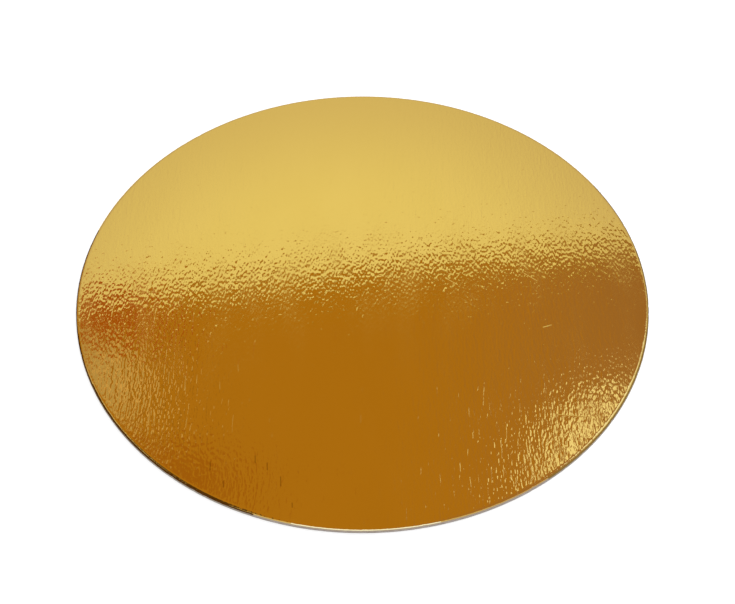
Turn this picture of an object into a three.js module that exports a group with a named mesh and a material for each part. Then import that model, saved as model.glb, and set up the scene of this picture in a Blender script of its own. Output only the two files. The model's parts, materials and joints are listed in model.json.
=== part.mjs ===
// A round gold cake board: one disc, die-cut from greyboard that has foil paper laminated to its face.
// Millimetres, +Z up. The origin is the centre of the underside, which rests on the table.
import * as THREE from "three";

// The board as sold: its diameter, and the caliper of the laminated sheet.
const DIAMETER = 260;
const CALIPER = 2;

// The cutting die comes down on the foil side and drags the face over the edge in a soft, wide roll.
const ROLL_WIDTH = 1.7;
const ROLL_DROP = 0.85;

// Below the roll the blade's wedge leaves a wall that leans out, and a small round at the heel.
const WALL_LEAN = 0.08;
const HEEL_ROUND = 0.2;

// Facets: round the disc in all, and in each quarter round of the edge.
const FACETS_ROUND = 180;
const FACETS_ROLL = 8;
const FACETS_HEEL = 3;

// The gold of the foil, as seen under white light.
const FOIL_GOLD = new THREE.Color().setRGB(0.8, 0.545, 0.116, THREE.LinearSRGBColorSpace);
const FOIL_ROUGHNESS = 0.12;

// Points of a quarter ellipse about a centre, from one angle to the next quarter.
function quarterRound(centreRadius, centreHeight, acrossRadius, upRadius, startAngle, facets) {
  const curve = new THREE.EllipseCurve(
    centreRadius,
    centreHeight,
    acrossRadius,
    upRadius,
    startAngle,
    startAngle + Math.PI / 2,
  );
  return curve.getPoints(facets);
}

// Half of the board's section, as radius and height, from the underside's centre to the face's centre.
function boardSection() {
  const outerRadius = DIAMETER / 2;
  const rollFoot = outerRadius - WALL_LEAN;
  const heel = quarterRound(
    outerRadius - HEEL_ROUND, HEEL_ROUND, HEEL_ROUND, HEEL_ROUND, -Math.PI / 2, FACETS_HEEL,
  );
  const roll = quarterRound(
    rollFoot - ROLL_WIDTH, CALIPER - ROLL_DROP, ROLL_WIDTH, ROLL_DROP, 0, FACETS_ROLL,
  );
  return [
    new THREE.Vector2(0, 0),
    ...heel,
    ...roll,
    new THREE.Vector2(0, CALIPER),
  ];
}

// The whole board is one piece, so it is one solid: the section turned about its centre line.
function cakeBoard() {
  const foil = new THREE.MeshStandardMaterial({
    color: FOIL_GOLD,
    roughness: FOIL_ROUGHNESS,
    metalness: 1,
  });
  const board = new THREE.Mesh(new THREE.LatheGeometry(boardSection(), FACETS_ROUND), foil);
  board.name = "cake_board";
  board.rotation.x = Math.PI / 2; // a lathe turns about Y, and the board's own axis is Z
  return board;
}

const part = new THREE.Group();
part.add(cakeBoard());

export default part;
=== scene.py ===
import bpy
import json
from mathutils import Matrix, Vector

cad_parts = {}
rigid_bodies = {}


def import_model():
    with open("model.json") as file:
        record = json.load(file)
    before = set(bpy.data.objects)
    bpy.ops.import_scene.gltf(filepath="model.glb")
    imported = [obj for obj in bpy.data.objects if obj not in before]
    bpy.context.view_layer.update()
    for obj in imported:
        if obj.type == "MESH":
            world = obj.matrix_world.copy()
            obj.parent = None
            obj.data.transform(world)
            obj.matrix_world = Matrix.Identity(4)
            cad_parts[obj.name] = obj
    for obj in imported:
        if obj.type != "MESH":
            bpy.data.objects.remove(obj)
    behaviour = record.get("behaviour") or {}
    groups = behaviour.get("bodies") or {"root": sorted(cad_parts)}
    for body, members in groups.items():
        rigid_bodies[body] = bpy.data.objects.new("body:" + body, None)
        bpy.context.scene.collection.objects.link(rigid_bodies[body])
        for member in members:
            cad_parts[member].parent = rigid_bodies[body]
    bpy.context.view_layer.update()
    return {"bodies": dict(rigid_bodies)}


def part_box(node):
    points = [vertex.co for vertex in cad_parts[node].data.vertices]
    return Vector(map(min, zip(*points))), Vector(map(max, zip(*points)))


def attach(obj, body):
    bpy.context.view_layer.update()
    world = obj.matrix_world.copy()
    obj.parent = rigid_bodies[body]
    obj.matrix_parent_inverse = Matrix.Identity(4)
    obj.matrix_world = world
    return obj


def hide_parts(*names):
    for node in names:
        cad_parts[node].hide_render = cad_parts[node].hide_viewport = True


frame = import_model()

import json
import math
import random
from collections import namedtuple

import bmesh
import bpy
from bpy.props import FloatProperty, FloatVectorProperty, IntProperty, PointerProperty
from mathutils import Vector, noise

bl_info = {
    "name": "Gold Cake Board",
    "version": (1, 0, 0),
    "blender": (4, 5, 0),
    "location": "View3D > Sidebar > Cake Board",
    "description": "Makes a round foil-faced cake board and the white table that it lies on",
    "category": "Add Mesh",
}

MM = 0.001
BOARD_LOW, BOARD_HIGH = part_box("cake_board")
BOARD_BODY = next(iter(frame["bodies"]))
FOIL, CUT_EDGE, LINER = range(3)

# How far apart the mesh's points are: round the rim, across and round the face, and on the underside.
RIM_SPACING = 0.6 * MM
FACE_STEP = 2.6 * MM
FACE_SPACING = 3.4 * MM
UNDERSIDE_SPACING = 6 * MM
# The last stretch of the face, where its rings go over from the face's spacing to the rim's.
DOUBLING_BAND = 0.9 * FACE_STEP
# Points in the smallest rings, and rings in the roll, the cut wall and the heel.
FEWEST_POINTS = 12
ROLL_STEPS = 12
WALL_STEPS = 4
HEEL_STEPS = 4
# The share of the rim's wear that reaches the foot of the cut wall.
HEEL_WEAR = 0.5
NICK_SEED = 7

# The middle of the brightest part of the face, from which the foil's colour is painted darker towards the
# back and sides, as painted shade.
UNSHADED_FRONT = (0, -50 * MM)
# The part of a noise's range that stands out, as specks of grit or as sharp streaks.
GRIT_PEAKS = (0.73, 0.86)
STREAK_PEAKS = (0.67, 0.82)
# The two ends of each short scratch in the foil, in millimetres from the centre of the face.
SCRATCHES = (
    ((80.5, -25.5), (84.1, -24.2)),
    ((74.5, 6.5), (79.7, 2.2)),
    ((38.4, 3.6), (43.3, -0.1)),
    ((82.8, -73.5), (93.7, -74.6)),
)
# The two ends of each small dark streak painted near the front of the face as a painted reflection of
# something dark, in millimetres too.
PAINTED_DARK_STREAKS = (
    ((-63.1, -96.8), (-62.9, -100.8)),
    ((-57.2, -106.2), (-57.0, -109.1)),
    ((-44.7, -93.9), (-44.5, -97.4)),
    ((-39.6, -97.4), (-39.4, -100.9)),
    ((-33.8, -104.3), (-33.6, -108.7)),
    ((-28.7, -116.9), (-28.6, -118.9)),
)

# Where the stage stands, in metres: the ceiling, the far cards, the table's edge and its gap to the board.
CEILING_HEIGHT = 1.2
WALL_DISTANCE = 1.5
TABLE_REACH = 3.0
TABLE_GAP = 0.05 * MM
# Between these distances to the right, the amber ceiling shades to brown.
SHADING_BAND = (0.05, 0.45)
# The rim cards' distance from the rim, and the height of their foot in millimetres.
RIM_CARD_GAP = 0.5 * MM
RIM_CARD_FOOT = 0.1
# How far the front softbox reaches: from the roll it is seen, and from the flat face it isn't.
SOFTBOX_REACH = 3.2 * MM
# A curved card is made of flat steps, about one for every so many degrees.
DEGREES_PER_STEP = 5
# The camera's place in metres, its turns about X, Y and Z in degrees, and its sensor in millimetres.
CAMERA_PLACE = (0, -0.43015, 0.49343)
CAMERA_TURNS = (40.509, -0.034, -0.262)
SENSOR_WIDTH = 36


# Properties

class BoardSizes(bpy.types.PropertyGroup):
    """The board's sizes, from its diameter down to the ripples and nicks of its rim."""

    diameter: FloatProperty(
        name="Diameter",
        description="Across the board at its widest, which is the foot of the cut edge",
        default=BOARD_HIGH.x - BOARD_LOW.x,
        unit="LENGTH",
    )
    caliper: FloatProperty(
        name="Caliper",
        description="Thickness of the laminated sheet",
        default=BOARD_HIGH.z - BOARD_LOW.z,
        unit="LENGTH",
    )
    roll_width: FloatProperty(
        name="Roll width",
        description="How far in from the edge the face begins to roll down",
        default=1.7 * MM,
        unit="LENGTH",
    )
    roll_drop: FloatProperty(
        name="Roll drop",
        description="How far down the edge the foil is dragged",
        default=0.85 * MM,
        unit="LENGTH",
    )
    wall_lean: FloatProperty(
        name="Wall lean",
        description="How much wider the cut wall is at its foot than under the roll",
        default=0.08 * MM,
        unit="LENGTH",
    )
    heel_round: FloatProperty(
        name="Heel round",
        description="Radius of the bottom corner",
        default=0.2 * MM,
        unit="LENGTH",
    )
    face_wave_height: FloatProperty(
        name="Face wave height",
        description="How far the face dips between its broad, shallow waves",
        default=0.03 * MM,
        unit="LENGTH",
    )
    face_wave_length: FloatProperty(
        name="Face wave length",
        description="Distance from one broad wave of the face to the next",
        default=45 * MM,
        unit="LENGTH",
    )
    rim_ripple_depth: FloatProperty(
        name="Rim ripple depth",
        description="How far the crimped foil of the rim dips inwards",
        default=0.09 * MM,
        unit="LENGTH",
    )
    rim_ripple_length: FloatProperty(
        name="Rim ripple length",
        description="Distance along the rim from one ripple to the next",
        default=1.6 * MM,
        unit="LENGTH",
    )
    nick_count: IntProperty(
        name="Nicks",
        description="How many small knocks the rim has taken",
        default=70,
    )
    nick_depth: FloatProperty(
        name="Nick depth",
        description="Depth of the deepest knock",
        default=0.2 * MM,
        unit="LENGTH",
    )
    nick_width: FloatProperty(
        name="Nick width",
        description="Half the width of a knock along the rim",
        default=0.6 * MM,
        unit="LENGTH",
    )


class FoilLook(bpy.types.PropertyGroup):
    """The gold foil: its colour, its polish and the relief that the greyboard prints through it."""

    gold: FloatVectorProperty(
        name="Gold",
        description="Colour of the foil in plain light",
        default=(0.785, 0.553, 0.12),
        subtype="COLOR",
    )
    deep_gold: FloatVectorProperty(
        name="Deep gold",
        description="Colour of the foil where its lacquer is thicker",
        default=(0.775, 0.545, 0.115),
        subtype="COLOR",
    )
    # Painted shade: the foil's colour is painted darker far back, between the next two distances.
    back_shade_gold: FloatVectorProperty(
        name="Dull gold",
        description="Colour of the foil far back, where it has dulled",
        default=(0.64, 0.43, 0.1),
        subtype="COLOR",
    )
    back_shade_start: FloatProperty(
        name="Dull start",
        description="Distance from the clean front of the face at which the foil begins to dull",
        default=95 * MM,
        unit="LENGTH",
    )
    back_shade_end: FloatProperty(
        name="Dull end",
        description="Distance from the clean front of the face at which it would be quite dull",
        default=195 * MM,
        unit="LENGTH",
    )
    roughness_low: FloatProperty(
        name="Clean roughness",
        description="Roughness of the cleanest foil",
        default=0.05,
        subtype="FACTOR",
    )
    roughness_high: FloatProperty(
        name="Handled roughness",
        description="Roughness of the foil where it has been handled",
        default=0.09,
        subtype="FACTOR",
    )
    dimple_width: FloatProperty(
        name="Dimple width",
        description="Width of the dimples that the pulp prints through the foil",
        default=0.85 * MM,
        unit="LENGTH",
    )
    dimple_length: FloatProperty(
        name="Dimple length",
        description="Length of those dimples along the board's grain",
        default=2.05 * MM,
        unit="LENGTH",
    )
    dimple_depth: FloatProperty(
        name="Dimple depth",
        description="Depth of those dimples",
        default=0.045 * MM,
        unit="LENGTH",
    )
    grain_width: FloatProperty(
        name="Grain width",
        description="Width of the long furrows along the board's grain",
        default=1.5 * MM,
        unit="LENGTH",
    )
    grain_length: FloatProperty(
        name="Grain length",
        description="Length of those furrows",
        default=9 * MM,
        unit="LENGTH",
    )
    grain_depth: FloatProperty(
        name="Grain depth",
        description="Depth of those furrows",
        default=0.028 * MM,
        unit="LENGTH",
    )
    scuff_width: FloatProperty(
        name="Scuff width",
        description="Width of the few sharper furrows, which glint as short streaks",
        default=1.3 * MM,
        unit="LENGTH",
    )
    scuff_length: FloatProperty(
        name="Scuff length",
        description="Length of those sharper furrows",
        default=9 * MM,
        unit="LENGTH",
    )
    scuff_depth: FloatProperty(
        name="Scuff depth",
        description="Depth of those sharper furrows",
        default=0.018 * MM,
        unit="LENGTH",
    )
    # Painted reflections: the colour and width of small dark streaks painted into the foil's colour.
    painted_reflection_gold: FloatVectorProperty(
        name="Rubbed gold",
        description="Colour of the foil where it is rubbed dark",
        default=(0.5, 0.33, 0.065),
        subtype="COLOR",
    )
    painted_reflection_width: FloatProperty(
        name="Rub width",
        description="Width of the small dark rubs",
        default=0.9 * MM,
        unit="LENGTH",
    )
    scratch_width: FloatProperty(
        name="Scratch width",
        description="Width of the short scratches across the face",
        default=0.65 * MM,
        unit="LENGTH",
    )
    scratch_depth: FloatProperty(
        name="Scratch depth",
        description="Depth of those scratches",
        default=0.03 * MM,
        unit="LENGTH",
    )
    crimp_width: FloatProperty(
        name="Crimp width",
        description="Width of the small crimps where the die drags the foil over the rim",
        default=0.8 * MM,
        unit="LENGTH",
    )
    crimp_depth: FloatProperty(
        name="Crimp depth",
        description="Depth of those crimps",
        default=0.03 * MM,
        unit="LENGTH",
    )
    crimp_start: FloatProperty(
        name="Crimp start",
        description="Distance from the board's centre at which the crimps begin",
        default=BOARD_HIGH.x - 1.6 * MM,
        unit="LENGTH",
    )
    crimp_fade: FloatProperty(
        name="Crimp fade",
        description="Distance over which the crimps come up to their full depth",
        default=0.5 * MM,
        unit="LENGTH",
    )
    pimple_spacing: FloatProperty(
        name="Pimple spacing",
        description="Distance between the stray specks of grit under the foil",
        default=2.2 * MM,
        unit="LENGTH",
    )
    pimple_height: FloatProperty(
        name="Pimple height",
        description="Height of the stray specks of grit under the foil",
        default=0.01 * MM,
        unit="LENGTH",
    )


class CardLook(bpy.types.PropertyGroup):
    """The greyboard of the cut edge and the paper liner of the underside."""

    greyboard: FloatVectorProperty(
        name="Greyboard",
        description="Colour of the cut greyboard",
        default=(0.62, 0.55, 0.47),
        subtype="COLOR",
    )
    dark_ply: FloatVectorProperty(
        name="Dark ply",
        description="Colour of the darker plies of the cut greyboard",
        default=(0.4, 0.33, 0.26),
        subtype="COLOR",
    )
    fibre_depth: FloatProperty(
        name="Fibre depth",
        description="How far the fibres of the cut greyboard stand out",
        default=0.12 * MM,
        unit="LENGTH",
    )
    liner: FloatVectorProperty(
        name="Liner",
        description="Colour of the paper liner under the board",
        default=(0.66, 0.64, 0.59),
        subtype="COLOR",
    )
    liner_fleck: FloatVectorProperty(
        name="Liner fleck",
        description="Colour of the recycled fibres in the liner",
        default=(0.5, 0.47, 0.41),
        subtype="COLOR",
    )
    liner_tooth: FloatProperty(
        name="Liner tooth",
        description="Depth of the faint roughness of the liner's paper",
        default=0.03 * MM,
        unit="LENGTH",
    )


class Studio(bpy.types.PropertyGroup):
    """The white table, the soft light and the cards that the foil mirrors."""

    lens: FloatProperty(
        name="Lens",
        description="Focal length on a sensor 36 mm wide, in millimetres",
        default=70,
    )
    table_grey: FloatProperty(
        name="Table grey",
        description="How pale the table is under the lamp and the even light, before its glow",
        default=0.45,
    )
    table_glow: FloatProperty(
        name="Table glow",
        description="Brightness that is added to the table for the camera and the foil",
        default=0.65,
    )
    wall_light: FloatProperty(
        name="Wall light",
        description="Brightness of the white walls low down, as the foil mirrors them",
        default=0.88,
    )
    wall_glow: FloatProperty(
        name="Wall glow",
        description="Brightness of the middle of the wall behind the board, as the foil mirrors it",
        default=1.0,
    )
    wall_tint: FloatVectorProperty(
        name="Wall tint",
        description="Colour of the dimmer parts of those walls",
        default=(1, 0.94, 1.07),
        min=0, max=2,
        subtype="COLOR",
    )
    low_tint: FloatVectorProperty(
        name="Low tint",
        description="Colour of the foot of those walls",
        default=(1, 0.88, 0.6),
        subtype="COLOR",
    )
    plain_light: FloatProperty(
        name="Plain light",
        description="Brightness of the even light all round",
        default=0.85,
    )
    amber: FloatVectorProperty(
        name="Amber",
        description="Glow of the amber card overhead",
        default=(0.52, 0.265, 0.036),
        subtype="COLOR",
    )
    brown: FloatVectorProperty(
        name="Brown",
        description="Glow of the right end of the amber card overhead",
        default=(0.43, 0.235, 0.14),
        subtype="COLOR",
    )
    dark: FloatVectorProperty(
        name="Dark",
        description="Glow of the dark flags on the left and of the dark shade overhead",
        default=(0.1, 0.05, 0.02),
        subtype="COLOR",
    )
    dim: FloatVectorProperty(
        name="Dim",
        description="Glow of the dim flags on the right",
        default=(0.32, 0.27, 0.28),
        subtype="COLOR",
    )


# The mesh of the board

# A ring of the mesh has a radius, a height and a number of points. It takes a share of the rim's wear,
# and the faces from it to the next ring have its material.
Ring = namedtuple("Ring", "radius height points wear material")


def ring_count(radius, spacing):
    """How many points a ring has: the fewest, doubled until none are further apart than the spacing."""
    count = FEWEST_POINTS
    while 2 * math.pi * radius / count > spacing:
        count *= 2
    return count


def face_rings(sizes, rim_points):
    """The rings of the flat face, whose points double in number just before the roll."""
    edge = sizes.diameter / 2 - sizes.wall_lean - sizes.roll_width
    steps = round(edge / FACE_STEP)
    rings = []
    for i in range(1, steps):
        radius = edge * i / steps
        rings.append(Ring(radius, sizes.caliper, ring_count(radius, FACE_SPACING), 0, FOIL))
    points = ring_count(edge, FACE_SPACING)
    doublings = int(math.log2(rim_points / points))
    for i in range(1, doublings + 1):
        radius = edge - DOUBLING_BAND * (1 - i / (doublings + 1))
        rings.append(Ring(radius, sizes.caliper, points * 2 ** i, 0, FOIL))
    rings.append(Ring(edge, sizes.caliper, rim_points, 0, FOIL))
    return rings


def roll_rings(sizes, rim_points):
    """The rings of the soft roll, from the face down to the top of the cut wall."""
    face_edge = sizes.diameter / 2 - sizes.wall_lean - sizes.roll_width
    foot = sizes.caliper - sizes.roll_drop
    rings = []
    for i in range(1, ROLL_STEPS + 1):
        angle = math.pi / 2 * i / ROLL_STEPS
        radius = face_edge + sizes.roll_width * math.sin(angle)
        height = foot + sizes.roll_drop * math.cos(angle)
        material = FOIL if i < ROLL_STEPS else CUT_EDGE
        rings.append(Ring(radius, height, rim_points, math.sin(angle) ** 2, material))
    return rings


def wall_rings(sizes, rim_points):
    """The rings of the cut wall, which leans out towards its foot and is worn less there."""
    top_radius = sizes.diameter / 2 - sizes.wall_lean
    top = sizes.caliper - sizes.roll_drop
    rings = []
    for i in range(1, WALL_STEPS + 1):
        share = i / WALL_STEPS
        radius = top_radius + sizes.wall_lean * share
        height = top + (sizes.heel_round - top) * share
        rings.append(Ring(radius, height, rim_points, 1 - (1 - HEEL_WEAR) * share, CUT_EDGE))
    return rings


def heel_rings(sizes, rim_points):
    """The rings of the small round at the heel, down to the underside."""
    centre = sizes.diameter / 2 - sizes.heel_round
    rings = []
    for i in range(1, HEEL_STEPS + 1):
        angle = math.pi / 2 * i / HEEL_STEPS
        radius = centre + sizes.heel_round * math.cos(angle)
        height = sizes.heel_round * (1 - math.sin(angle))
        material = CUT_EDGE if i < HEEL_STEPS else LINER
        rings.append(Ring(radius, height, rim_points, HEEL_WEAR * (1 - i / HEEL_STEPS), material))
    return rings


def underside_rings(sizes, rim_points):
    """The rings of the flat underside, each with half as many points as the one outside it."""
    radius = sizes.diameter / 2 - sizes.heel_round
    points = rim_points
    rings = []
    while points > FEWEST_POINTS:
        points //= 2
        radius = min(radius - RIM_SPACING, points * UNDERSIDE_SPACING / (2 * math.pi))
        rings.append(Ring(radius, 0, points, 0, LINER))
    return rings


def board_profile(sizes):
    """All the rings, from the face's centre over the rim to the underside's centre."""
    rim_points = ring_count(sizes.diameter / 2, RIM_SPACING)
    profile = []
    for rings_of in (face_rings, roll_rings, wall_rings, heel_rings, underside_rings):
        profile += rings_of(sizes, rim_points)
    return profile


def rim_wear(sizes):
    """How deep the rim is dented at an angle, from its crimped ripples and its seeded nicks."""
    chance = random.Random(NICK_SEED)
    radius = sizes.diameter / 2
    nicks = []
    for _ in range(sizes.nick_count):
        angle = chance.uniform(0, 2 * math.pi)
        depth = sizes.nick_depth * chance.uniform(0.2, 1) ** 2
        width = sizes.nick_width * chance.uniform(0.5, 1.4)
        nicks.append((angle, depth, width))

    def depth_at(angle):
        place = Vector((math.cos(angle), math.sin(angle), 0)) * radius / sizes.rim_ripple_length
        depth = sizes.rim_ripple_depth * 0.5 * (1 + noise.noise(place))
        for nick_angle, nick_depth, nick_width in nicks:
            apart = abs((angle - nick_angle + math.pi) % (2 * math.pi) - math.pi) * radius
            if apart < 3 * nick_width:
                depth += nick_depth * math.exp(-((apart / nick_width) ** 2))
        return depth

    return depth_at


def join_rings(mesh, ring, following, material):
    """Faces between one ring and the next, which has as many points, twice as many or half as many."""
    faces = []
    if len(following) == len(ring):
        for i in range(len(ring)):
            j = (i + 1) % len(ring)
            faces.append((ring[i], following[i], following[j], ring[j]))
    elif len(following) == 2 * len(ring):
        for i in range(len(ring)):
            j = (i + 1) % len(ring)
            middle = following[2 * i + 1]
            faces.append((ring[i], following[2 * i], middle))
            faces.append((ring[i], middle, ring[j]))
            faces.append((ring[j], middle, following[2 * j]))
    else:
        for i in range(len(following)):
            j = (i + 1) % len(following)
            middle = ring[2 * i + 1]
            faces.append((ring[2 * i], following[i], middle))
            faces.append((middle, following[i], following[j]))
            faces.append((middle, following[j], ring[2 * j]))
    for corners in faces:
        face = mesh.faces.new(corners)
        face.material_index = material
        face.smooth = True


def board_mesh(sizes):
    """The whole board as one closed mesh, from each ring of its profile to the next."""
    profile = board_profile(sizes)
    wear_at = rim_wear(sizes)
    rim_points = max(ring.points for ring in profile)
    wear = [wear_at(2 * math.pi * i / rim_points) for i in range(rim_points)]
    mesh = bmesh.new()

    def face_dip(x, y):
        place = Vector((x, y, 0)) / sizes.face_wave_length
        return sizes.face_wave_height * 0.5 * (1 + noise.noise(place))

    def points_of(ring):
        points = []
        fading = (ring.height / sizes.caliper) ** 4
        for i in range(ring.points):
            angle = 2 * math.pi * i / ring.points
            radius = ring.radius - ring.wear * wear[i * rim_points // ring.points]
            x = radius * math.cos(angle)
            y = radius * math.sin(angle)
            points.append(mesh.verts.new((x, y, ring.height - face_dip(x, y) * fading)))
        return points

    points = points_of(profile[0])
    top = mesh.verts.new((0, 0, sizes.caliper - face_dip(0, 0)))
    for i in range(len(points)):
        face = mesh.faces.new((top, points[i], points[(i + 1) % len(points)]))
        face.smooth = True
    for ring, following in zip(profile, profile[1:]):
        next_points = points_of(following)
        join_rings(mesh, points, next_points, ring.material)
        points = next_points
    bottom = mesh.verts.new((0, 0, 0))
    for i in range(len(points)):
        face = mesh.faces.new((points[i], bottom, points[(i + 1) % len(points)]))
        face.material_index = LINER
        face.smooth = True
    return mesh


# Material nodes

def fresh_material(name):
    """A new node material, with its nodes, its links and its surface shader."""
    material = bpy.data.materials.new(name)
    material.use_nodes = True
    nodes = material.node_tree.nodes
    return material, nodes, material.node_tree.links, nodes["Principled BSDF"]


def fill(links, socket, value):
    """Gives a node's input a number, a vector, a colour or what comes out of another node."""
    if isinstance(value, bpy.types.NodeSocket):
        links.new(value, socket)
    elif socket.type == "RGBA":
        socket.default_value = (*value, 1)
    else:
        socket.default_value = value


def math_node(nodes, links, operation, *values):
    """A maths node, with a socket or a number for each of its inputs in turn."""
    node = nodes.new("ShaderNodeMath")
    node.operation = operation
    for socket, value in zip(node.inputs, values):
        fill(links, socket, value)
    return node.outputs["Value"]


def vector_node(nodes, links, operation, *values):
    """A vector maths node, with a socket or a vector for each of its inputs in turn."""
    node = nodes.new("ShaderNodeVectorMath")
    node.operation = operation
    for socket, value in zip(node.inputs, values):
        fill(links, socket, value)
    return node


def combined(nodes, links, operation, values):
    """Several values made into one by the same sum, two at a time."""
    result = values[0]
    for value in values[1:]:
        result = math_node(nodes, links, operation, result, value)
    return result


def ranged(nodes, links, value, low, high, to_low=0.0, to_high=1.0):
    """A value taken smoothly from one range to another."""
    node = nodes.new("ShaderNodeMapRange")
    node.interpolation_type = "SMOOTHSTEP"
    node.inputs["From Min"].default_value = low
    node.inputs["From Max"].default_value = high
    node.inputs["To Min"].default_value = to_low
    node.inputs["To Max"].default_value = to_high
    links.new(value, node.inputs["Value"])
    return node.outputs["Result"]


def mixed_colour(nodes, links, share, first, second):
    """A colour between two others."""
    node = nodes.new("ShaderNodeMix")
    node.data_type = "RGBA"
    fill(links, node.inputs["Factor"], share)
    sides = [socket for socket in node.inputs if socket.type == "RGBA"]
    for side, colour in zip(sides, (first, second)):
        fill(links, side, colour)
    return next(output for output in node.outputs if output.type == "RGBA")


def grain_noise(nodes, links, width, length, thickness=None, detail=1.0):
    """Noise whose grains have these sizes across the board, along its grain and through its thickness.
    Where no thickness is given, they are as thick as they are wide."""
    place = nodes.new("ShaderNodeTexCoord")
    scale = nodes.new("ShaderNodeMapping")
    scale.inputs["Scale"].default_value = (1 / width, 1 / length, 1 / (thickness or width))
    links.new(place.outputs["Object"], scale.inputs["Vector"])
    texture = nodes.new("ShaderNodeTexNoise")
    texture.inputs["Scale"].default_value = 1
    texture.inputs["Detail"].default_value = detail
    links.new(scale.outputs["Vector"], texture.inputs["Vector"])
    return texture.outputs["Fac"]


def flat_place(nodes, links):
    """The place on the board as seen from above, without its height."""
    place = nodes.new("ShaderNodeTexCoord")
    return vector_node(nodes, links, "MULTIPLY", place.outputs["Object"], (1, 1, 0)).outputs["Vector"]


def distance_out(nodes, links, centre=(0, 0)):
    """How far a place is across the board from the board's centre line, or from another place."""
    flat = flat_place(nodes, links)
    return vector_node(nodes, links, "DISTANCE", flat, (*centre, 0)).outputs["Value"]


def mark(nodes, links, start, end, width):
    """One short mark on the face, between two places: 1 along its middle and 0 outside it."""
    run = end - start
    direction = (*run.normalized(), 0)
    flat = flat_place(nodes, links)
    reach = vector_node(nodes, links, "SUBTRACT", flat, (*start, 0)).outputs["Vector"]
    along = vector_node(nodes, links, "DOT_PRODUCT", reach, direction).outputs["Value"]
    clamped = nodes.new("ShaderNodeClamp")
    clamped.inputs["Min"].default_value = 0
    clamped.inputs["Max"].default_value = run.length
    links.new(along, clamped.inputs["Value"])
    nearest = vector_node(nodes, links, "SCALE", direction)
    links.new(clamped.outputs["Result"], nearest.inputs["Scale"])
    apart = vector_node(nodes, links, "DISTANCE", reach, nearest.outputs["Vector"]).outputs["Value"]
    return ranged(nodes, links, apart, 0, width / 2, 1, 0)


def marks(nodes, links, places, width):
    """All the short marks of one kind, each between two places in millimetres."""
    shapes = []
    for ends in places:
        start, end = (Vector(place) * MM for place in ends)
        shapes.append(mark(nodes, links, start, end, width))
    return combined(nodes, links, "MAXIMUM", shapes)


def relief(nodes, links, shader, height):
    """Gives the shader a surface relief from a height in metres."""
    bump = nodes.new("ShaderNodeBump")
    bump.inputs["Strength"].default_value = 1
    bump.inputs["Distance"].default_value = 1
    links.new(height, bump.inputs["Height"])
    links.new(bump.outputs["Normal"], shader.inputs["Normal"])


# The board's materials

def foil_colour(nodes, links, look):
    """The gold of the foil: cloudy with its lacquer, painted darker far back as painted shade, and with small
    dark streaks painted in as painted reflections.
    """
    lacquer = grain_noise(nodes, links, 30 * MM, 70 * MM, detail=2)
    thicker = ranged(nodes, links, lacquer, 0.35, 0.65)
    golds = mixed_colour(nodes, links, thicker, look.gold, look.deep_gold)
    # Painted shade: the foil's colour darkens with distance from the bright front.
    painted_back_shade = ranged(nodes, links, distance_out(nodes, links, UNSHADED_FRONT), look.back_shade_start, look.back_shade_end)
    golds = mixed_colour(nodes, links, painted_back_shade, golds, look.back_shade_gold)
    # Painted reflections: small dark streaks in the foil's colour.
    dark_streaks = marks(nodes, links, PAINTED_DARK_STREAKS, look.painted_reflection_width)
    return mixed_colour(nodes, links, dark_streaks, golds, look.painted_reflection_gold)


def foil_relief(nodes, links, look):
    """The height of the foil: what the pulp prints through it, and the streaks, crimps and scratches."""
    dimples = grain_noise(nodes, links, look.dimple_width, look.dimple_length, detail=0.4)
    furrows = grain_noise(nodes, links, look.grain_width, look.grain_length, detail=0)
    grit = grain_noise(nodes, links, look.pimple_spacing / 2, look.pimple_spacing / 1.3, detail=0)
    streaks = grain_noise(nodes, links, look.scuff_width, look.scuff_length, detail=0)
    wrinkles = grain_noise(nodes, links, look.crimp_width, look.crimp_width)
    outward = distance_out(nodes, links)
    at_rim = ranged(nodes, links, outward, look.crimp_start, look.crimp_start + look.crimp_fade)
    shapes = [
        (dimples, look.dimple_depth),
        (furrows, look.grain_depth),
        (ranged(nodes, links, grit, *GRIT_PEAKS), look.pimple_height),
        (ranged(nodes, links, streaks, *STREAK_PEAKS), look.scuff_depth),
        (math_node(nodes, links, "MULTIPLY", wrinkles, at_rim), look.crimp_depth),
        (marks(nodes, links, SCRATCHES, look.scratch_width), look.scratch_depth),
    ]
    heights = [math_node(nodes, links, "MULTIPLY", shape, depth) for shape, depth in shapes]
    return combined(nodes, links, "ADD", heights)


def foil_material(look):
    """Gold foil: a mirror that the pulp behind it has dimpled, with furrows along the grain."""
    material, nodes, links, shader = fresh_material("gold_foil")
    shader.inputs["Metallic"].default_value = 1
    links.new(foil_colour(nodes, links, look), shader.inputs["Base Color"])
    handling = grain_noise(nodes, links, 14 * MM, 40 * MM, detail=3)
    polish = ranged(nodes, links, handling, 0.4, 0.7, look.roughness_low, look.roughness_high)
    links.new(polish, shader.inputs["Roughness"])
    relief(nodes, links, shader, foil_relief(nodes, links, look))
    return material


def cut_edge_material(look):
    """Greyboard laid open by the die: thin plies of recycled fibre, matt and slightly furry."""
    material, nodes, links, shader = fresh_material("cut_greyboard")
    plies = grain_noise(nodes, links, 3 * MM, 3 * MM, thickness=0.16 * MM, detail=2)
    fibres = grain_noise(nodes, links, 0.35 * MM, 0.35 * MM, thickness=0.2 * MM, detail=2)
    ply_share = math_node(nodes, links, "MULTIPLY", ranged(nodes, links, plies, 0.4, 0.62), 0.75)
    fibre_share = math_node(nodes, links, "MULTIPLY", fibres, 0.25)
    pale = math_node(nodes, links, "ADD", ply_share, fibre_share)
    links.new(mixed_colour(nodes, links, pale, look.dark_ply, look.greyboard), shader.inputs["Base Color"])
    shader.inputs["Roughness"].default_value = 0.92
    relief(nodes, links, shader, math_node(nodes, links, "MULTIPLY", fibres, look.fibre_depth))
    return material


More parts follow.
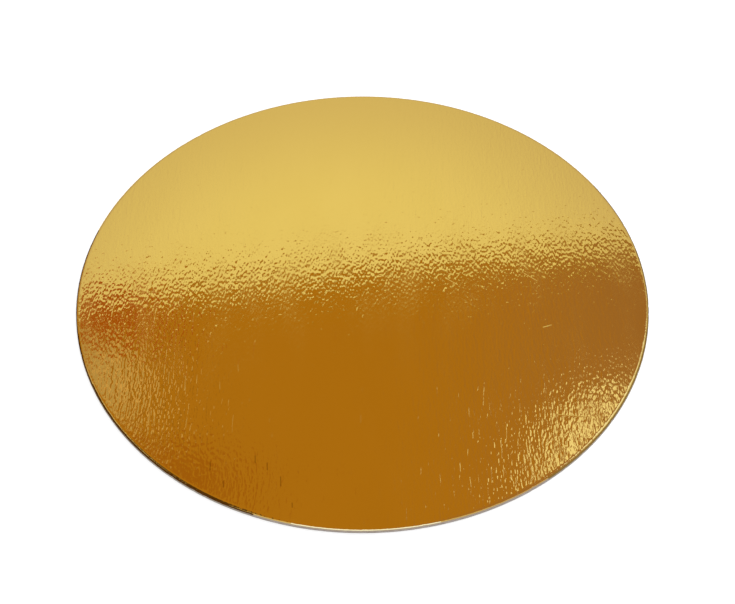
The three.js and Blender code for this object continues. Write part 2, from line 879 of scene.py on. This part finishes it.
def liner_material(look):
    """The plain paper of the underside, with recycled flecks and a faint tooth."""
    material, nodes, links, shader = fresh_material("paper_liner")
    clouds = grain_noise(nodes, links, 9 * MM, 14 * MM, detail=3)
    fibres = grain_noise(nodes, links, 0.5 * MM, 1.6 * MM)
    flecks = ranged(nodes, links, fibres, 0.66, 0.74)
    darker = math_node(nodes, links, "MAXIMUM", flecks, math_node(nodes, links, "MULTIPLY", clouds, 0.35))
    links.new(mixed_colour(nodes, links, darker, look.liner, look.liner_fleck), shader.inputs["Base Color"])
    shader.inputs["Roughness"].default_value = 0.85
    tooth = grain_noise(nodes, links, 0.6 * MM, 1.1 * MM, detail=2)
    relief(nodes, links, shader, math_node(nodes, links, "MULTIPLY", tooth, look.liner_tooth))
    return material


# The stage

def stage_object(name, points, faces, material):
    """A sheet of the stage, from its points and faces."""
    mesh = bpy.data.meshes.new(name)
    mesh.from_pydata(points, [], faces)
    mesh.materials.append(material)
    sheet = bpy.data.objects.new(name, mesh)
    bpy.context.scene.collection.objects.link(sheet)
    return sheet


def glow_material(name, colour, strength, right_colour):
    """A plain glowing surface, for a card that the foil mirrors.
    Where it has a right colour, it shades to that one at its right end."""
    material = bpy.data.materials.new(name)
    material.use_nodes = True
    nodes = material.node_tree.nodes
    links = material.node_tree.links
    nodes.clear()
    glow = nodes.new("ShaderNodeEmission")
    glow.inputs["Color"].default_value = (*colour, 1)
    glow.inputs["Strength"].default_value = strength
    if right_colour:
        place = nodes.new("ShaderNodeTexCoord")
        parts = nodes.new("ShaderNodeSeparateXYZ")
        links.new(place.outputs["Object"], parts.inputs["Vector"])
        share = ranged(nodes, links, parts.outputs["X"], *SHADING_BAND)
        links.new(mixed_colour(nodes, links, share, colour, right_colour), glow.inputs["Color"])
    output = nodes.new("ShaderNodeOutputMaterial")
    links.new(glow.outputs["Emission"], output.inputs["Surface"])
    return material


def mirrored_card(name, points, faces, colour, strength=1.0, right_colour=None):
    """A card that shows only in the foil: it lights nothing and casts no shadow."""
    card = stage_object(name, points, faces, glow_material(name, colour, strength, right_colour))
    card.visible_camera = False
    card.visible_diffuse = False
    card.visible_transmission = False
    card.visible_shadow = False
    return card


def ceiling_card(name, outline, height, colour, strength=1.0, right_colour=None):
    """A level card overhead, from the points of its outline in metres."""
    points = [(x, y, height) for x, y in outline]
    mirrored_card(name, points, [tuple(range(len(points)))], colour, strength, right_colour)


def curved_card(name, turns, profile, colour, strength=1.0):
    """A card that curves round the board, between two turns in degrees from +Y towards +X.
    Its profile is a row of points, each a distance from the centre line and a height."""
    steps = max(2, round(abs(turns[1] - turns[0]) / DEGREES_PER_STEP))
    points = []
    for across, height in profile:
        for i in range(steps + 1):
            turn = math.radians(turns[0] + (turns[1] - turns[0]) * i / steps)
            points.append((across * math.sin(turn), across * math.cos(turn), height))
    row = steps + 1
    faces = []
    for j in range(len(profile) - 1):
        for i in range(j * row, j * row + steps):
            faces.append((i, i + 1, row + i + 1, row + i))
    return mirrored_card(name, points, faces, colour, strength)


def wall_card(name, turns, rises, colour):
    """A curved card that stands far round the board like a wall, between two rises in degrees."""
    profile = []
    for rise in rises:
        up = math.radians(rise)
        profile.append((WALL_DISTANCE * math.cos(up), WALL_DISTANCE * math.sin(up)))
    curved_card(name, turns, profile, colour)


def rim_card(name, turns, bottom, top, colour, strength=1.0):
    """A low card that stands close round the rim, from one height in millimetres to another.
    Hardly more than the rim mirrors it."""
    across = BOARD_HIGH.x + RIM_CARD_GAP
    return curved_card(name, turns, [(across, bottom * MM), (across, top * MM)], colour, strength)


def short_reach(card, reach):
    """Lets a card be mirrored only from close by: a ray longer than the reach passes through it."""
    nodes = card.active_material.node_tree.nodes
    links = card.active_material.node_tree.links
    path = nodes.new("ShaderNodeLightPath")
    near = math_node(nodes, links, "LESS_THAN", path.outputs["Ray Length"], reach)
    clear = nodes.new("ShaderNodeBsdfTransparent")
    choice = nodes.new("ShaderNodeMixShader")
    links.new(near, choice.inputs["Fac"])
    links.new(clear.outputs["BSDF"], choice.inputs[1])
    links.new(nodes["Emission"].outputs["Emission"], choice.inputs[2])
    links.new(choice.outputs["Shader"], nodes["Material Output"].inputs["Surface"])


def ceiling_cards(studio):
    """The amber ceiling that the near half of the face mirrors, with its windows, lamps and shades."""
    window_height = CEILING_HEIGHT - 0.01
    over_window = window_height + 0.001
    under_window = window_height - 0.001
    ceiling_card(
        "amber_ceiling",
        [(-0.9, -0.55), (1.0, -0.55), (1.0, 1.205), (-0.9, 0.955)],
        CEILING_HEIGHT, studio.amber, right_colour=studio.brown,
    )
    ceiling_card(
        "pale_window",
        [(-0.8, 0.8), (-0.42, 0.8), (-0.33, 0.735), (-0.335, 0.925), (-0.8, 0.925)],
        window_height, (0.6, 0.48, 0.4),
    )
    ceiling_card(
        "orange_shade",
        [(-0.5, 0.93), (-0.31, 0.94), (-0.31, 1.03), (-0.47, 1.018)],
        under_window, (0.47, 0.135, 0.012),
    )
    ceiling_card(
        "orange_screen",
        [(-0.38, 0.77), (-0.37, 0.66), (-0.2, 0.6), (-0.17, 0.7), (-0.3, 0.74)],
        over_window, (0.44, 0.185, 0.022),
    )
    ceiling_card(
        "dark_edge",
        [(-0.9, 0.93), (1.0, 1.18), (1.0, 1.205), (-0.9, 0.955)],
        window_height, (0.41, 0.235, 0.022),
    )
    ceiling_card(
        "lit_edge",
        [(-0.9, 0.955), (1.0, 1.205), (1.0, 1.235), (-0.9, 0.985)],
        window_height, (1, 1, 1), 1.04,
    )
    ceiling_card(
        "lit_window_edge",
        [(-0.365, 0.765), (-0.33, 0.74), (-0.335, 0.925), (-0.365, 0.925)],
        under_window, (0.85, 0.6, 0.46),
    )
    ceiling_card(
        "dark_window_edge",
        [(-0.329, 0.735), (-0.285, 0.735), (-0.29, 0.95), (-0.334, 0.95)],
        window_height, studio.amber, 0.8,
    )
    ceiling_card(
        "glint_lamp",
        [(0.37, 0.85), (0.31, 0.79), (0.27, 0.72), (0.25, 0.65), (0.275, 0.63), (0.33, 0.7), (0.4, 0.815)],
        window_height, (0.74, 0.76, 1), 1.55,
    )
    ceiling_card(
        "right_lamp",
        [(0.44, 0.52), (0.62, 0.22), (0.99, 0.3), (0.99, 0.95), (0.62, 0.95)],
        window_height, (0.5, 0.56, 1), 2.3,
    )
    ceiling_card(
        "dark_shade",
        [(-0.9, 0.35), (-0.55, 0.3), (-0.32, 0.12), (-0.4, -0.2), (-0.5, -0.55), (-0.9, -0.55)],
        window_height, studio.dark,
    )


def rim_cards(studio):
    """The cards that the rolled rim mirrors as thin lines: cool at the front, dark left, dim right."""
    softbox = rim_card("front_softbox", (166, 193), 2.05, 4.1, (0.26, 0.34, 1), 5)
    short_reach(softbox, SOFTBOX_REACH)
    rim_card("front_wall", (144, 200), RIM_CARD_FOOT, 2.05, (0.28, 0.31, 1), 1.9)
    rim_card("front_left_flag", (-160, -155), RIM_CARD_FOOT, 3.0, studio.dark)
    rim_card("left_flag", (-155, -115), RIM_CARD_FOOT, 4.0, studio.dark)
    rim_card("side_left_flag", (-115, -102), RIM_CARD_FOOT, 3.0, studio.dark)
    rim_card("low_left_flag", (-102, -74), RIM_CARD_FOOT, 2.4, studio.dark)
    rim_card("front_right_flag", (127, 144), RIM_CARD_FOOT, 3.7, studio.dim)
    rim_card("right_flag", (101, 127), RIM_CARD_FOOT, 3.3, studio.dim)
    rim_card("side_right_flag", (80, 101), RIM_CARD_FOOT, 2.7, studio.dim)
    rim_card("low_right_flag", (60, 80), RIM_CARD_FOOT, 2.1, studio.dim)


def far_cards(studio):
    """The cards far round the board, which the face mirrors when it is seen from low down."""
    wall_card("back_rail", (-60, 40), (7, 17), (0.5, 0.47, 0.5))
    wall_card("back_left_wall", (-62, -37), (26, 43), studio.amber)
    wall_card("front_right_wall", (112, 155), (15.5, 33), studio.amber)


def table_material(studio):
    """A white table: white to the camera and to the foil, with the board's own soft shadow on it."""
    material, nodes, links, shader = fresh_material("white_table")
    shader.inputs["Base Color"].default_value = (studio.table_grey, studio.table_grey, studio.table_grey, 1)
    shader.inputs["Roughness"].default_value = 0.9
    shader.inputs["Specular IOR Level"].default_value = 0
    path = nodes.new("ShaderNodeLightPath")
    rays = [path.outputs[name] for name in ("Is Camera Ray", "Is Glossy Ray", "Is Transmission Ray")]
    seen = combined(nodes, links, "MAXIMUM", rays)
    shader.inputs["Emission Color"].default_value = (1, 1, 1, 1)
    glow = math_node(nodes, links, "MULTIPLY", seen, studio.table_glow)
    links.new(glow, shader.inputs["Emission Strength"])
    return material


def white_table(studio):
    """The table, a hair under the board so that the two don't lie in one plane."""
    reach = TABLE_REACH
    corners = [(-reach, -reach), (reach, -reach), (reach, reach), (-reach, reach)]
    points = [(x, y, -TABLE_GAP) for x, y in corners]
    stage_object("white_table", points, [(0, 1, 2, 3)], table_material(studio))


def mirrored_walls(nodes, links, studio):
    """The white walls as the foil mirrors them: how bright, most of all behind the board, and what colour."""
    place = nodes.new("ShaderNodeTexCoord")
    parts = nodes.new("ShaderNodeSeparateXYZ")
    links.new(place.outputs["Generated"], parts.inputs["Vector"])
    rise = parts.outputs["Z"]
    upward = ranged(nodes, links, rise, 0.3, 0.6, studio.wall_light, studio.wall_glow)
    beside = math_node(nodes, links, "ABSOLUTE", math_node(nodes, links, "ADD", parts.outputs["X"], 0.03))
    sideways = ranged(nodes, links, beside, 0.02, 0.4, 1, 0.8)
    glow = math_node(nodes, links, "MULTIPLY", upward, sideways)
    high = mixed_colour(nodes, links, ranged(nodes, links, glow, 0.8, 1), studio.wall_tint, (1, 1, 1))
    colour = mixed_colour(nodes, links, ranged(nodes, links, rise, 0.2, 0.42), studio.low_tint, high)
    return glow, colour


def white_world(studio):
    """White to the camera, white walls to the foil, and even light for the rest."""
    world = bpy.data.worlds.new("white_room")
    bpy.context.scene.world = world
    world.use_nodes = True
    nodes = world.node_tree.nodes
    links = world.node_tree.links
    nodes.clear()
    path = nodes.new("ShaderNodeLightPath")
    mirroring = path.outputs["Is Glossy Ray"]
    glow, walls = mirrored_walls(nodes, links, studio)
    mirrored = math_node(nodes, links, "MULTIPLY", mirroring, glow)
    seen = math_node(
        nodes, links, "MAXIMUM", path.outputs["Is Camera Ray"], path.outputs["Is Transmission Ray"]
    )
    bright = math_node(nodes, links, "MAXIMUM", seen, mirroring)
    rest = math_node(nodes, links, "SUBTRACT", 1, bright)
    plain = math_node(nodes, links, "MULTIPLY", rest, studio.plain_light)
    background = nodes.new("ShaderNodeBackground")
    links.new(mixed_colour(nodes, links, mirroring, (1, 1, 1), walls), background.inputs["Color"])
    level = combined(nodes, links, "ADD", [mirrored, plain, seen])
    links.new(level, background.inputs["Strength"])
    output = nodes.new("ShaderNodeOutputWorld")
    links.new(background.outputs["Background"], output.inputs["Surface"])


def soft_lamp(name, place, size, power):
    """A large soft lamp aimed at the board, which the foil doesn't mirror."""
    light = bpy.data.lights.new(name, "AREA")
    light.shape = "SQUARE"
    light.size = size
    light.energy = power
    lamp = bpy.data.objects.new(name, light)
    lamp.location = place
    lamp.rotation_euler = (-Vector(place)).to_track_quat("-Z", "Y").to_euler()
    lamp.visible_glossy = False
    bpy.context.scene.collection.objects.link(lamp)


def photo_camera(studio):
    """The camera, where the photographer stood: in front of the board and high over it."""
    data = bpy.data.cameras.new("photo_camera")
    data.lens = studio.lens
    data.sensor_width = SENSOR_WIDTH
    camera = bpy.data.objects.new("photo_camera", data)
    camera.location = CAMERA_PLACE
    camera.rotation_euler = [math.radians(turn) for turn in CAMERA_TURNS]
    bpy.context.scene.collection.objects.link(camera)
    bpy.context.scene.camera = camera


# Operators

class CAKEBOARD_OT_board(bpy.types.Operator):
    """Make the board: foil face, cut greyboard edge and paper underside, in one closed piece"""

    bl_idname = "cakeboard.board"
    bl_label = "Cake Board"

    def execute(self, context):
        scene = context.scene
        mesh = board_mesh(scene.cake_board_sizes)
        data = bpy.data.meshes.new("foil_board")
        mesh.to_mesh(data)
        mesh.free()
        data.materials.append(foil_material(scene.cake_board_foil))
        data.materials.append(cut_edge_material(scene.cake_board_card))
        data.materials.append(liner_material(scene.cake_board_card))
        board = bpy.data.objects.new("foil_board", data)
        scene.collection.objects.link(board)
        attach(board, BOARD_BODY)
        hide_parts("cake_board")
        return {"FINISHED"}


class CAKEBOARD_OT_studio(bpy.types.Operator):
    """Set the white table, the soft light, the cards that the foil mirrors and the camera"""

    bl_idname = "cakeboard.studio"
    bl_label = "Studio"

    def execute(self, context):
        scene = context.scene
        studio = scene.cake_board_studio
        scene.view_settings.view_transform = "Standard"
        white_world(studio)
        white_table(studio)
        ceiling_cards(studio)
        rim_cards(studio)
        far_cards(studio)
        soft_lamp("key_lamp", place=(0.7, 0.8, 1.3), size=0.5, power=14)
        photo_camera(studio)
        return {"FINISHED"}


class CAKEBOARD_PT_panel(bpy.types.Panel):
    """Lists what makes the board and its studio"""

    bl_idname = "CAKEBOARD_PT_panel"
    bl_label = "Cake Board"
    bl_space_type = "VIEW_3D"
    bl_region_type = "UI"
    bl_category = "Cake Board"

    def draw(self, context):
        layout = self.layout
        for operator in OPERATORS:
            layout.operator(operator.bl_idname)
        for name in GROUPS:
            group = getattr(context.scene, name)
            box = layout.box()
            for key in group.__annotations__:
                box.prop(group, key)


OPERATORS = (CAKEBOARD_OT_studio, CAKEBOARD_OT_board)
GROUPS = {
    "cake_board_sizes": BoardSizes,
    "cake_board_foil": FoilLook,
    "cake_board_card": CardLook,
    "cake_board_studio": Studio,
}


def register():
    for group in GROUPS.values():
        bpy.utils.register_class(group)
    for operator in OPERATORS:
        bpy.utils.register_class(operator)
    bpy.utils.register_class(CAKEBOARD_PT_panel)
    for name, group in GROUPS.items():
        setattr(bpy.types.Scene, name, PointerProperty(type=group))


def unregister():
    for name in GROUPS:
        delattr(bpy.types.Scene, name)
    bpy.utils.unregister_class(CAKEBOARD_PT_panel)
    for operator in reversed(OPERATORS):
        bpy.utils.unregister_class(operator)
    for group in reversed(GROUPS.values()):
        bpy.utils.unregister_class(group)


def main():
    register()
    bpy.ops.cakeboard.studio()
    bpy.ops.cakeboard.board()


if __name__ == "__main__":
    main()
